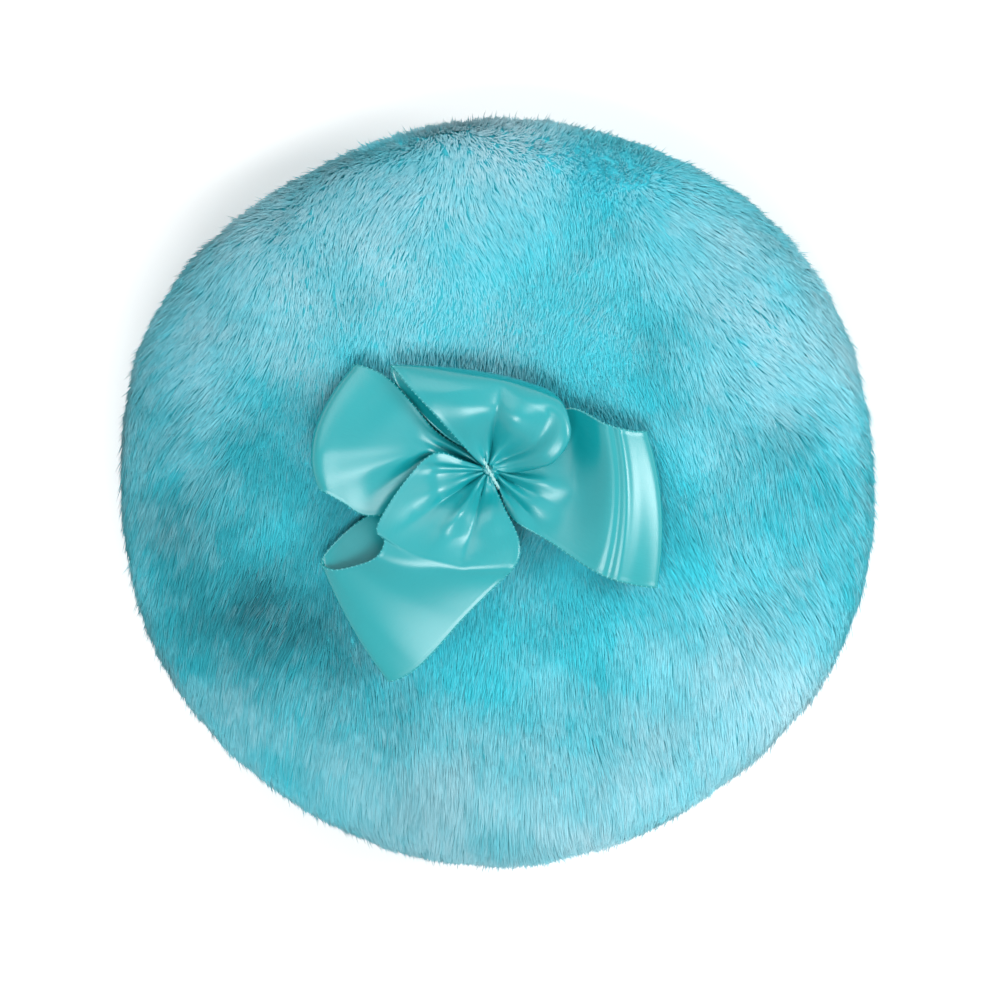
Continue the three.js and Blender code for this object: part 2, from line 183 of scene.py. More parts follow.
# Materials
class Nodes:
    """Builds one material's nodes. Each call adds a node and returns it."""

    def __init__(self, name, **shader):
        self.material = bpy.data.materials.new(name)
        self.material.use_nodes = True
        self.tree = self.material.node_tree
        self.shader = self.tree.nodes["Principled BSDF"]
        for socket, value in shader.items():
            self.shader.inputs[socket.replace("_", " ")].default_value = value

    def add(self, kind, settings=None, **inputs):
        node = self.tree.nodes.new(kind)
        for key, value in (settings or {}).items():
            setattr(node, key, value)
        for key, value in inputs.items():
            self.put(node.inputs[key.replace("_", " ")], value)
        return node

    def put(self, socket, value):
        if isinstance(value, bpy.types.NodeSocket):
            self.tree.links.new(value, socket)
        else:
            socket.default_value = value

    def mix(self, factor, first, second):
        node = self.tree.nodes.new("ShaderNodeMix")
        node.data_type = "RGBA"
        self.put(node.inputs[0], factor)
        self.put(node.inputs[6], first)
        self.put(node.inputs[7], second)
        return node.outputs[2]

    def math(self, operation, *values):
        node = self.tree.nodes.new("ShaderNodeMath")
        node.operation = operation
        for socket, value in zip(node.inputs, values):
            self.put(socket, value)
        return node.outputs[0]

    def spread(self, value, low, high):
        """The value's way from low to high, as 0 to 1."""
        settings = {"interpolation_type": "SMOOTHSTEP"}
        node = self.add("ShaderNodeMapRange", settings, Value=value, From_Min=low, From_Max=high)
        return node.outputs[0]

    def noise(self, scale, detail, vector=None):
        node = self.add("ShaderNodeTexNoise", Scale=scale, Detail=detail)
        place = vector or self.add("ShaderNodeTexCoord").outputs["Object"]
        self.tree.links.new(place, node.inputs["Vector"])
        return node.outputs["Fac"]

    def attribute(self, name):
        return self.add("ShaderNodeAttribute", {"attribute_name": name}).outputs["Fac"]

    def colour(self, value):
        self.put(self.shader.inputs["Base Color"], value)

    def bump(self, height, strength, distance):
        node = self.add("ShaderNodeBump", Height=height, Strength=strength, Distance=distance)
        self.put(self.shader.inputs["Normal"], node.outputs[0])


def plush_material():
    """Fibres: deep and saturated at the root, pale at the tip where the pile catches light."""
    nodes = Nodes(
        "plush",
        Roughness=0.7,
        Specular_IOR_Level=0.2,
        Sheen_Weight=0.1,
        Sheen_Roughness=0.5,
    )
    along = nodes.attribute("along")
    pale = nodes.attribute("pale")
    shade = nodes.attribute("shade")
    # The shade attribute carries painted light and shade; the pale one carries painted sheen on the tips,
    # with a random tone
    body = nodes.mix(shade, linear(30, 122, 136), linear(68, 226, 245))
    tip = nodes.mix(pale, body, linear(190, 240, 252))
    root = nodes.mix(0.25, body, tip)
    nodes.colour(nodes.mix(nodes.spread(along, 0.0, 0.8), root, tip))
    return nodes.material


def grained_material(name, roughness, sheen, grain, dark, light, bump):
    """A fine grain between two colours. Grain is its scale and detail, bump its strength and depth."""
    nodes = Nodes(name, Roughness=roughness, Sheen_Weight=sheen)
    fibre = nodes.noise(*grain)
    nodes.colour(nodes.mix(fibre, dark, light))
    nodes.bump(fibre, *bump)
    return nodes.material


def thread_material(name, dark, light):
    return grained_material(name, 0.45, 0.2, (5200.0, 3.0), dark, light, (0.4, 0.00005))


def satin_material():
    """Double-faced satin: fine floats along the ribbon and a soft gloss."""
    nodes = Nodes(
        "satin",
        Roughness=0.31,
        Specular_IOR_Level=0.75,
        Anisotropic=0.75,
        Coat_Weight=0.15,
        Coat_Roughness=0.25,
    )
    place = nodes.add("ShaderNodeUVMap", {"uv_map": "Ribbon"}).outputs[0]
    weave = nodes.add("ShaderNodeMapping", Vector=place, Scale=(12000.0, 500.0, 1.0)).outputs[0]
    floats = nodes.noise(1.0, 2.0, weave)
    cloud = nodes.noise(90.0, 1.0)
    base = nodes.mix(cloud, linear(2, 148, 155), linear(8, 164, 171))
    nodes.colour(nodes.mix(nodes.math("MULTIPLY", floats, 0.3), base, linear(36, 196, 203)))
    nodes.bump(floats, 0.2, 0.00004)
    tangent = nodes.add("ShaderNodeTangent", {"direction_type": "UV_MAP", "uv_map": "Ribbon"})
    nodes.put(nodes.shader.inputs["Tangent"], tangent.outputs[0])
    return nodes.material


def knit_material():
    """Plain knit: wales and courses as two crossed waves."""
    nodes = Nodes("knit", Roughness=0.85, Sheen_Weight=0.3)
    place = nodes.add("ShaderNodeTexCoord").outputs["Object"]
    crossed = []
    for direction, scale in (("X", 420.0), ("Y", 560.0)):
        settings = {"wave_type": "BANDS", "bands_direction": direction}
        wave = nodes.add("ShaderNodeTexWave", settings, Vector=place, Scale=scale, Distortion=1.2)
        crossed.append(wave.outputs["Fac"])
    stitch = nodes.math("MULTIPLY", *crossed)
    nodes.colour(nodes.mix(stitch, linear(32, 128, 142), linear(84, 184, 198)))
    nodes.bump(stitch, 0.5, 0.0003)
    return nodes.material


# Meshes
def build_mesh(name, points, quads, triangles=()):
    """A mesh from arrays of points and of corner numbers."""
    quads = np.asarray(quads, np.int32).reshape(-1, 4)
    triangles = np.asarray(triangles, np.int32).reshape(-1, 3)
    corners = np.concatenate([quads.ravel(), triangles.ravel()])
    starts = np.concatenate([
        4 * np.arange(len(quads)),
        4 * len(quads) + 3 * np.arange(len(triangles)),
    ])
    mesh = bpy.data.meshes.new(name)
    mesh.vertices.add(len(points))
    mesh.vertices.foreach_set("co", np.asarray(points, np.float32).ravel())
    mesh.loops.add(len(corners))
    mesh.loops.foreach_set("vertex_index", corners.astype(np.int32))
    mesh.polygons.add(len(starts))
    mesh.polygons.foreach_set("loop_start", starts.astype(np.int32))
    mesh.polygons.foreach_set("use_smooth", np.ones(len(starts), bool))
    mesh.update(calc_edges=True)
    return mesh


def corner_uvs(mesh, name, places):
    """A UV map from one place for each vertex."""
    corners = np.zeros(len(mesh.loops), np.int32)
    mesh.loops.foreach_get("vertex_index", corners)
    layer = mesh.uv_layers.new(name=name)
    layer.data.foreach_set("uv", places[corners].astype(np.float32).ravel())


def linked(name, data):
    """A new object in the scene."""
    thing = bpy.data.objects.new(name, data)
    bpy.context.scene.collection.objects.link(thing)
    return thing


def piece(mesh, material, body):
    """A finished object that rides on its body."""
    thing = linked(mesh.name, mesh)
    mesh.materials.append(material)
    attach(thing, body)
    return thing


def replacement(mesh, material, body, node):
    """A closed piece that takes the place of a CAD node."""
    turn_outwards(mesh)
    thing = piece(mesh, material, body)
    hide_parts(node)
    return thing


def turn_outwards(mesh):
    """Flips every face of a closed mesh whose faces point inwards."""
    mesh.calc_loop_triangles()
    corners = np.zeros(len(mesh.loop_triangles) * 3, np.int32)
    mesh.loop_triangles.foreach_get("vertices", corners)
    points = np.zeros(len(mesh.vertices) * 3, np.float32)
    mesh.vertices.foreach_get("co", points)
    a, b, c = points.reshape(-1, 3)[corners.reshape(-1, 3)].transpose(1, 0, 2).astype(float)
    if np.sum(a * np.cross(b, c)) < 0:
        mesh.flip_normals()


def grid_quads(rows, columns, wrap_rows=False):
    """Corner numbers of a grid of points, row after row. Each row closes on itself."""
    row = np.arange(rows if wrap_rows else rows - 1)
    row, column = [part.ravel() for part in np.meshgrid(row, np.arange(columns), indexing="ij")]
    next_row = (row + 1) % rows
    beside = (column + 1) % columns
    return np.stack([
        row * columns + column,
        row * columns + beside,
        next_row * columns + beside,
        next_row * columns + column,
    ], axis=1)


def tube_ends(base, rows):
    """Triangles that close both ends of a tube of rings."""
    last = base + (rows - 1) * TUBE_SIDES
    near = [[base, base + k + 1, base + k] for k in range(1, TUBE_SIDES - 1)]
    return near + [[last, last + k, last + k + 1] for k in range(1, TUBE_SIDES - 1)]


def circle(count, first=0.0):
    """Evenly spread headings of a full turn."""
    return (np.arange(count) + first) * 2 * math.pi / count


def distances(path):
    """How far along a path each of its points lies."""
    return np.concatenate([[0], np.cumsum(np.linalg.norm(np.diff(path, axis=0), axis=1))])


def from_tack(places):
    """How far each place lies from the tack's axis."""
    return np.linalg.norm((places - CENTRE)[:, :2], axis=1)


def unit(vectors):
    return vectors / np.maximum(np.linalg.norm(vectors, axis=-1, keepdims=True), 1e-12)


def dot(first, second):
    return np.sum(first * second, axis=-1, keepdims=True)


def smoothstep(value, low, high):
    share = np.clip((value - low) / (high - low), 0, 1)
    return share * share * (3 - 2 * share)


WAVE_COUNT = 9
WAVE_GAIN = 2.2


def waves(places, size, seed):
    """Smooth noise, mostly from -1 to 1, whose swells are about size wide."""
    source = np.random.default_rng(seed)
    pull = unit(source.normal(size=(WAVE_COUNT, 3))) * source.uniform(0.6, 1.5, (WAVE_COUNT, 1))
    phases = source.uniform(0, 2 * math.pi, WAVE_COUNT)
    swings = np.sin(places @ pull.T * (math.pi / size) + phases)
    return swings.mean(axis=-1) * WAVE_GAIN


def wave_sum(places, table):
    return sum(amount * waves(places, size, seed) for amount, size, seed in table)


# The pile's faces, read from the frame as reaches from the puff's centre
HEADINGS = 240
RISES = 120
RISE_ANGLES = ((np.arange(RISES) + 0.5) / RISES - 0.5) * math.pi
FAR = 0.2
OUTER_BLUR = 3
INNER_BLUR = 1
FACING_DOWN = -0.6
HOLE_RINGS = 2
INNER_HOLE_RINGS = 6


def pile_tree():
    points, faces = [], []
    for name in ("upper_pile", "lower_pile"):
        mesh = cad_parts[name].data
        base = len(points)
        points += [vertex.co.copy() for vertex in mesh.vertices]
        faces += [[base + corner for corner in face.vertices] for face in mesh.polygons]
    return BVHTree.FromPolygons(points, faces)


def ray_ways():
    """A direction for each heading and rise."""
    heading, rise = np.meshgrid(circle(HEADINGS, 0.5), RISE_ANGLES, indexing="ij")
    flat = np.cos(rise)
    return np.stack([flat * np.cos(heading), flat * np.sin(heading), np.sin(rise)], axis=-1)


def read_reaches():
    """How far the pile's outer and inner faces lie from the centre, for each heading and rise."""
    tree = pile_tree()
    start = Vector(CENTRE)
    outer, inner = np.zeros((2, HEADINGS, RISES))
    for cell, way in zip(np.ndindex(HEADINGS, RISES), map(Vector, ray_ways().reshape(-1, 3))):
        outer[cell] = FAR - tree.ray_cast(start + way * FAR, -way)[3]
        inner[cell] = tree.ray_cast(start, way)[3]
    return outer, inner


def close_poles(reach, upper_rings):
    """Rays near the tack fall into its hole, so the rings there keep the height beside them."""
    last = RISES - 1 - upper_rings
    height = reach[:, last] * math.sin(RISE_ANGLES[last])
    for column in range(last + 1, RISES):
        reach[:, column] = height.mean() / math.sin(RISE_ANGLES[column])
    return reach


def blurred(reach, passes):
    for _ in range(passes):
        reach = (np.roll(reach, 1, 0) + 2 * reach + np.roll(reach, -1, 0)) / 4
        inside = (reach[:, :-2] + 2 * reach[:, 1:-1] + reach[:, 2:]) / 4
        reach = np.concatenate([reach[:, :1], inside, reach[:, -1:]], axis=1)
    return reach


def face_points(reach):
    return CENTRE + ray_ways() * reach[..., None]


def face_normals(points):
    round_way = np.roll(points, -1, 0) - np.roll(points, 1, 0)
    up_way = np.gradient(points, axis=1)
    return unit(np.cross(round_way, up_way))


class PileFace:
    """The whole pile's outer face as a grid of places and normals, and the reach of its inner face."""

    def __init__(self):
        outer, inner = read_reaches()
        reach = blurred(close_poles(outer, HOLE_RINGS), OUTER_BLUR)
        self.inner_reach = blurred(close_poles(inner, INNER_HOLE_RINGS), INNER_BLUR)
        self.points = face_points(reach)
        self.normals = face_normals(self.points)

    def seats(self, count, source, below=1.0):
        """Random places on the face, evenly spread, but with only a share of them on its underside."""
        round_way = np.roll(self.points, -1, 0) - self.points
        up_way = np.roll(self.points, -1, 1) - self.points
        area = np.linalg.norm(np.cross(round_way, up_way), axis=-1)[:, :-1]
        weight = (area * np.where(self.normals[:, :-1, 2] < FACING_DOWN, below, 1.0)).ravel()
        cells = source.choice(len(weight), size=count, p=weight / weight.sum())
        row = cells // (RISES - 1) + source.random(count)
        column = cells % (RISES - 1) + source.random(count)
        return between(self.points, row, column), unit(between(self.normals, row, column))


def between(grid, row, column):
    """Bilinear reading of a grid at fractional rows and columns."""
    low_row = np.floor(row).astype(int)
    low_column = np.clip(np.floor(column).astype(int), 0, RISES - 2)
    over = (row - low_row)[:, None]
    up = np.clip(column - low_column, 0, 1)[:, None]
    this_row, next_row = low_row % HEADINGS, (low_row + 1) % HEADINGS
    low = grid[this_row, low_column] * (1 - over) + grid[next_row, low_column] * over
    high = grid[this_row, low_column + 1] * (1 - over) + grid[next_row, low_column + 1] * over
    return low * (1 - up) + high * up


# Where painted sheen makes the fibres' tips pale: x, y and radius in millimetres, and amount
SHEEN_PATCHES = [
    (-40, 42, 24, 0.65),
    (-12, 52, 16, 0.3),
    (50, 26, 20, 0.6),
    (30, 46, 14, 0.3),
    (-4, 26, 14, 0.35),
    (-46, -36, 20, 0.4),
    (-15, -57, 18, 0.55),
    (18, -57, 18, 0.6),
    (46, -36, 18, 0.75),
    (-58, 5, 12, 0.25),
    (0, 64, 14, 0.8),
    # These two take the painted sheen away where the bow's shadow is painted on the pile
    (-35, -24, 14, -0.4),
    (-50, -20, 9, -0.3),
]

# Painted light and shade on the pile's body: brighter, or duller where the amount is below zero
LIGHT_AND_SHADE_PATCHES = [
    (2, 50, 20, 0.15),
    (0, 66, 22, 0.45),
    (4, -37, 18, 0.15),
    (36, -12, 16, 0.1),
    (-12, 30, 16, 0.1),
    (-54, 4, 24, -0.15),
    (-42, -16, 18, -0.15),
    (-4, -62, 24, -0.36),
    (-14, 63, 12, 0.35),
    (50, -8, 14, -0.2),
    # The next three paint the bow's shadow on the pile
    (-46, -38, 14, -0.05),
    (-35, -24, 13, -0.36),
    (-50, -20, 9, -0.2),
    (-50, 42, 18, 0.2),
]


def patch_sum(places, patches):
    """The patches' amounts at each place, each fading out from its middle."""
    amount = np.zeros(len(places))
    for x, y, radius, strength in patches:
        distance = np.hypot(places[:, 0] - x * MM, places[:, 1] - y * MM)
        amount += strength * np.exp(-((distance / (radius * MM)) ** 2))
    return amount


# Painted sheen on the fibres' tips: a ground, patches and soft waves
def tip_sheen(places):
    amount = PALE_GROUND + patch_sum(places, SHEEN_PATCHES) + wave_sum(places, PALE_WAVES)
    return np.clip(amount, 0, 1)


# Painted light and shade on the pile's body, with painted light lifting the rim
def light_and_shade(places):
    rim = smoothstep(from_tack(places), *BRIGHT_RIM)
    amount = BRIGHT_GROUND + patch_sum(places, LIGHT_AND_SHADE_PATCHES) + wave_sum(places, BRIGHT_WAVES)
    return amount + RIM_LIGHT * rim


def outwardness(places):
    """0 on the crown and 1 at the rim, where the pile is longer and lies more."""
    return smoothstep(from_tack(places), *CROWN_TO_RIM)[:, None]


def flow(places, normals):
    """The way that the pile lies, along its face."""
    radial = unit((places - CENTRE) * np.array([1, 1, 0]))
    way = NAP + radial * (OUTWARD[0] + OUTWARD[1] * outwardness(places))
    wander = np.stack([waves(places, WANDER_SIZE, seed) for seed in WANDER_SEEDS], axis=1)
    way = way + WANDER * wander
    return way - normals * dot(way, normals)


def clump_pull(seats, face):
    """For each seat the number of its clump, and each clump's tip and tone."""
    source = np.random.default_rng(31)
    centres, normals = face.seats(CLUMP_COUNT, source)
    tree = KDTree(CLUMP_COUNT)
    for number, centre in enumerate(centres):
        tree.insert(centre, number)
    tree.balance()
    nearest = np.array([tree.find(seat)[1] for seat in seats])
    way = flow(centres, normals) + source.normal(size=(CLUMP_COUNT, 3)) * CLUMP_SWAY
    way -= normals * dot(way, normals)
    length = lean_length(centres) * source.uniform(*CLUMP_LEAN_SPREAD, (CLUMP_COUNT, 1))
    lift = source.uniform(*TIP_SPREAD, (CLUMP_COUNT, 1))
    tips = centres + way * length / 2 + normals * lift
    return nearest, tips, source.random(CLUMP_COUNT)


def lean_length(places):
    return LEAN * (CROWN_LEAN_SHARE + (1 - CROWN_LEAN_SHARE) * outwardness(places))


def shown_length(normals):
    """How far the fibres stand out of the pile's base."""
    return PILE_SHOWN + (UNDER_SHOWN - PILE_SHOWN) * smoothstep(-normals[..., 2:3], *UNDERSIDE)


def strand_curves(count, face):
    """Root, bend and tip of each fibre, with the face's normal there and its tones: painted sheen and
    painted light and shade.
    """
    source = np.random.default_rng(7)
    seats, normals = face.seats(count, source, UNDER_DENSITY)
    nearest, clump_tips, clump_tones = clump_pull(seats, face)
    outward = outwardness(seats)
    way = flow(seats, normals)
    lean = lean_length(seats) * source.uniform(*LEAN_SPREAD, (count, 1))
    shown = shown_length(normals)
    swell = LOCK_HEIGHT * waves(seats, LOCK_SIZE, 3)[:, None]
    roots = seats - normals * (shown + ROOT_SUNK) - way * lean / 2
    bends = roots + normals * shown * BEND_RISE + way * lean * BEND_REACH
    lift = swell + source.uniform(*TIP_SPREAD, (count, 1))
    own_tips = seats + way * lean / 2 + normals * lift
    pull = source.uniform(*CLUMP_PULL, (count, 1)) * (CROWN_PULL_SHARE + (1 - CROWN_PULL_SHARE) * outward)
    tips = own_tips + (clump_tips[nearest] - own_tips) * pull
    tips += source.normal(size=(count, 3)) * TIP_SCATTER
    reach = from_tack(tips)
    tips -= normals * (BRUSHED_DEPTH * (1 - smoothstep(reach, BOW_SWEEP, SWEEP_END)))[:, None]
    stray = (source.random(count) < STRAY_SHARE) & (reach > SWEEP_END)
    tips[stray] += normals[stray] * STRAY_REACH * source.random((stray.sum(), 1))
    tips[:, 2] = np.maximum(tips[:, 2], LOWEST_TIP)
    bends[:, 2] = np.maximum(bends[:, 2], LOWEST_BEND)
    # Painted sheen on the tips with a random tone for each clump and fibre, and painted light and shade
    # on the body
    tone = (clump_tones[nearest] - 0.5) * (CLUMP_TONE[0] + CLUMP_TONE[1] * outward[:, 0])
    pale = tip_sheen(seats) + tone + source.normal(size=count) * PALE_SPREAD
    shade = light_and_shade(seats) + source.normal(size=count) * BRIGHT_SPREAD
    return roots, bends, tips, normals, np.clip(pale, 0, 1), np.clip(shade, 0, 1)


# Places of a fibre's rings along it and their share of its radius
RING_PLACES = np.array([0.0, 0.38, 0.74])
RING_SWELLS = np.array([1.0, 0.95, 0.62])
STRAND_POINTS = 10


def strand_points(roots, bends, tips, normals, radius):
    """Three rings of three points and a tip for each fibre, and the way that each point faces.

    One side of each fibre lies flat to the pile's face, and one edge points into the pile."""
    count = len(roots)
    points = np.zeros((count, STRAND_POINTS, 3), np.float32)
    facing = np.repeat(normals[:, None], STRAND_POINTS, axis=1)
    side = unit(np.cross(tips - roots, bends - roots + 1e-7))
    for ring, (place, swell) in enumerate(zip(RING_PLACES, RING_SWELLS)):
        centre = roots * (1 - place) ** 2 + 2 * bends * place * (1 - place) + tips * place**2
        run = unit((bends - roots) * (1 - place) + (tips - bends) * place)
        lift = unit(np.cross(run, side))
        for corner in range(3):
            turn = 2 * math.pi * corner / 3 + math.pi / 2
            out = side * math.cos(turn) + lift * math.sin(turn)
            points[:, 3 * ring + corner] = centre + out * radius * swell
            facing[:, 3 * ring + corner] = unit(SMOOTH_SHARE * normals + (1 - SMOOTH_SHARE) * out)
    points[:, -1] = tips
    return points, facing


def strand_faces(count):
    quads = []
    for ring in (0, 1):
        for corner in range(3):
            beside = (corner + 1) % 3
            low, high = 3 * ring, 3 * ring + 3
            quads.append([low + corner, low + beside, high + beside, high + corner])
    triangles = [[0, 2, 1], [6, 7, 9], [7, 8, 9], [8, 6, 9]]
    first = STRAND_POINTS * np.arange(count)[:, None, None]
    return first + np.array(quads), first + np.array(triangles)


def strand_map(count):
    """Each fibre has a cell of its own in the map."""
    across = math.ceil(math.sqrt(count))
    cells = np.stack([np.arange(count) % across, np.arange(count) // across], axis=1)
    inside = [(0.2 + 0.3 * corner, 0.1 + 0.8 * place) for place in RING_PLACES for corner in range(3)]
    inside.append((0.5, 0.9))
    return ((cells[:, None] + np.array(inside)) / across).reshape(-1, 2)


def fur(face, material):
    """All fibres, cut into pieces round the puff, above and below its seam."""
    count, radius = ((STRAND_COUNT, STRAND_RADIUS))
    *curves, pale, shade = strand_curves(count, face)
    offset = curves[0] - CENTRE
    heading = np.arctan2(offset[:, 1], offset[:, 0])
    above = curves[0][:, 2] >= SEAM_HEIGHT
    for side, chosen in (("upper", above), ("lower", ~above)):
        order = np.flatnonzero(chosen)[np.argsort(heading[chosen])]
        for number, part in enumerate(np.array_split(order, math.ceil(len(order) / PIECE_STRANDS))):
            points, facing = strand_points(*[values[part] for values in curves], radius)
            name = f"{side}_pile_fibres_{number + 1}"
            mesh = build_mesh(name, points.reshape(-1, 3), *strand_faces(len(part)))
            write_values(mesh, "along", np.tile(np.append(np.repeat(RING_PLACES, 3), 1.0), len(part)))
            write_values(mesh, "pale", np.repeat(pale[part], STRAND_POINTS))
            write_values(mesh, "shade", np.repeat(shade[part], STRAND_POINTS))
            soften(mesh, facing)
            corner_uvs(mesh, "OFBake", strand_map(len(part)))
            piece(mesh, material, "puff")


def soften(mesh, facing):
    """Fibres too fine to be lit one by one take most of their shading from the pile's face."""
    layer = mesh.attributes.new("custom_normal", "FLOAT_VECTOR", "POINT")
    layer.data.foreach_set("vector", facing.astype(np.float32).ravel())


def write_values(mesh, name, values):
    layer = mesh.attributes.new(name, "FLOAT", "POINT")
    layer.data.foreach_set("value", values.astype(np.float32))


def pile_base(face, node, material):
    """The dense pile under the fibres' tips: a shell that closes round the knit cover."""
    half = RISES // 2
    columns = np.arange(half, RISES) if node == "upper_pile" else np.arange(half)[::-1]
    outer = face.points - face.normals * shown_length(face.normals)
    inner = face_points(face.inner_reach)
    thin = np.linalg.norm(outer - CENTRE, axis=-1) < face.inner_reach + THINNEST_BASE
    outer[thin] = (CENTRE + (inner - CENTRE) * THINNEST_SHARE)[thin]
    rings = [outer[:, column] for column in columns] + [inner[:, column] for column in columns[::-1]]
    points = np.concatenate(rings)
    open_hole(points, half)
    mesh = build_mesh(f"{node}_base", points, grid_quads(len(rings), HEADINGS, wrap_rows=True))
    thing = replacement(mesh, material, "puff", node)


def open_hole(points, turn):
    """Draws the shell's two faces together into a neat hole for the tack."""
    for ring in (turn - 1, turn):
        span = slice(ring * HEADINGS, (ring + 1) * HEADINGS)
        points[span, :2] = CENTRE[:2] + unit(points[span, :2] - CENTRE[:2]) * HOLE_RADIUS


# Knit covers and wadding, under the pile
ROUND = 192
DOME_STEPS = 40


def dome_ring(swing, radius, base, rise, pull, pucker):
    """One ring of a dome about the tack, with small puckers towards the tack and the rim."""
    heading = circle(ROUND)
    out = HOLE_RADIUS + (radius - HOLE_RADIUS) * max(math.cos(swing), 0) ** ROUND_SHARE
    tuft = pull * np.exp(-((out / TUFT_RADIUS) ** 2))
    up = base + (rise - base) * math.sin(swing) ** ROUND_SHARE - tuft * math.sin(swing)
    folds = np.sin(PUCKER_FOLDS * heading)
    folds = folds + FINE_PUCKER_SHARE * np.sin(FINE_PUCKER_FOLDS * heading + 1.0)
    near_tack = math.exp(-((out / PUCKERED_TO) ** 2)) * (1 - math.exp(-((out / UNPUCKERED_TO) ** 2)))
    near_rim = math.cos(swing) ** 6 * math.sin(swing)
    height = max(up, base) + pucker * folds * (near_tack + near_rim)
    return np.stack([out * np.cos(heading), out * np.sin(heading), height], axis=1)


def dome_rings(*shape):
    return [dome_ring(swing, *shape) for swing in np.linspace(0, math.pi / 2, DOME_STEPS)]


def placed(rings, side):
    points = np.concatenate(rings)
    points[:, 2] = SEAM_HEIGHT + side * points[:, 2]
    points[:, :2] += CENTRE[:2]
    return points


def knit_cover(side, material):
    """The upper cover on side 1 and the lower one on side -1, with its turned-in seam allowance."""
    which, pull = ("upper", TUFT_DEPTH) if side > 0 else ("lower", UNDER_TUFT_DEPTH)
    radius = (COVER_HIGH[0] - COVER_LOW[0]) / 2
    inner_radius = radius - COVER_THICKNESS
    base = CLEARANCE / 2
    inner_base = base + COVER_THICKNESS
    rise = PAD_RISE + CLEARANCE + COVER_THICKNESS
    outer = dome_rings(radius, base, rise, pull, PUCKER)
    inner = dome_rings(inner_radius, inner_base, rise - COVER_THICKNESS, pull, PUCKER)
    heading = circle(ROUND)
    lip = (inner_radius - SEAM_ALLOWANCE) * np.stack([np.cos(heading), np.sin(heading)], axis=1)
    lips = [np.column_stack([lip, np.full(ROUND, level)]) for level in (inner_base, base)]
    rings = outer + inner[::-1] + lips
    quads = grid_quads(len(rings), ROUND, wrap_rows=True)
    mesh = build_mesh(f"{which}_knit_backing", placed(rings, side), quads)
    thing = replacement(mesh, material, "puff", f"{which}_knit_cover")


def wadding_pad(material):
    radius = (PAD_HIGH[0] - PAD_LOW[0]) / 2
    base = CLEARANCE / 2
    upper = dome_rings(radius, base, PAD_RISE, TUFT_DEPTH, 0.0)
    lower = dome_rings(radius, base, PAD_RISE, UNDER_TUFT_DEPTH, 0.0)
    points = np.concatenate([placed(upper, 1), placed(lower[::-1], -1)])
    away = unit(points - CENTRE)
    lumps = wave_sum(points, LUMP_WAVES) - LUMP_SUNK
    points += away * (lumps * smoothstep(from_tack(points), *LUMPS_RISE))[:, None]
    mesh = build_mesh("wadding_pad", points, grid_quads(2 * DOME_STEPS, ROUND, wrap_rows=True))
    thing = replacement(mesh, material, "puff", "filling_pad")


# Threads
def ply_thread(name, path, closed, material, body, node, radius=THREAD_RADIUS):
    """Two plies twisted round a path of points."""
    run = np.roll(path, -1, 0) - np.roll(path, 1, 0) if closed else np.gradient(path, axis=0)
    distance = distances(path)
    total = distance[-1] + (np.linalg.norm(path[0] - path[-1]) if closed else 0)
    turns = max(round(total / PLY_TWIST), 1)
    side, lift = carried_frame(path, unit(run), closed)
    rows = len(path)
    points, quads, triangles = [], [], []
    for ply in (0, 1):
        turn = distance / total * turns * 2 * math.pi + ply * math.pi
        centre = path + crosswise(side, lift, turn) * radius * PLY_OFFSET
        edges = [crosswise(side, lift, turn + corner * math.pi / 3) for corner in range(TUBE_SIDES)]
        tube = np.stack([centre + edge * radius * PLY_RADIUS for edge in edges], axis=1)
        points.append(tube.reshape(-1, 3))
        base = ply * rows * TUBE_SIDES
        quads.append(base + grid_quads(rows, TUBE_SIDES, wrap_rows=closed))
        if not closed:
            triangles += tube_ends(base, rows)
    mesh = build_mesh(name, np.concatenate(points), np.concatenate(quads), triangles)
    replacement(mesh, material, body, node)


def crosswise(side, lift, turn):
    """A direction across a path, turned from its side towards its lift."""
    return side * np.cos(turn)[:, None] + lift * np.sin(turn)[:, None]


def carried_frame(path, run, closed):
    """Two directions across the path, carried along it without twist."""
    side = np.zeros_like(path)
    start = np.array([0.0, 0.0, 1.0]) if abs(run[0, 2]) < 0.9 else np.array([1.0, 0.0, 0.0])
    side[0] = unit(np.cross(run[0], start))
    for step in range(1, len(path)):
        side[step] = unit(side[step - 1] - run[step] * np.dot(side[step - 1], run[step]))
    if closed:
        back = side[-1] - run[0] * np.dot(side[-1], run[0])
        gap = math.atan2(np.dot(np.cross(back, side[0]), run[0]), np.dot(back, side[0]))
        side = crosswise(side, np.cross(run, side), gap * np.arange(len(path)) / len(path))
    return side, np.cross(run, side)


def seam_threads(material):
    """Overcast stitches inside the rim, and ladder stitches outside it."""
    radius = (SEAM_HIGH[0] - SEAM_LOW[0]) / 2 - THREAD_RADIUS
    height = (SEAM_HIGH[2] - SEAM_LOW[2]) / 2 - THREAD_RADIUS
    heading = circle(OVERCAST_STEPS)
    path = round_path(radius, heading, height * np.sin(OVERCAST_SWINGS * heading))
    ply_thread("rim_overcast_thread", path, True, material, "puff", "rim_seam_thread")
    points = node_points("closing_stitches")
    offset = points - CENTRE
    headings = np.mod(np.arctan2(offset[:, 1], offset[:, 0]), 2 * math.pi)
    heading = np.linspace(headings.min(), headings.max(), LADDER_STEPS)
    height = (CLOSING_HIGH[2] - CLOSING_LOW[2]) / 2 - THREAD_RADIUS
    wave = np.sin(np.linspace(0, LADDER_SWINGS * 2 * math.pi, LADDER_STEPS) + math.pi / 4)
    path = round_path(from_tack(points).max() - THREAD_RADIUS, heading, height * wave)
    ply_thread("ladder_stitch_thread", path, False, material, "puff", "closing_stitches")


def round_path(radius, heading, height):
    x = CENTRE[0] + radius * np.cos(heading)
    y = CENTRE[1] + radius * np.sin(heading)
    return np.stack([x, y, SEAM_HEIGHT + height], axis=1)


def node_points(name):
    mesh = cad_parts[name].data
    points = np.zeros(len(mesh.vertices) * 3)
    mesh.vertices.foreach_get("co", points)
    return points.reshape(-1, 3)


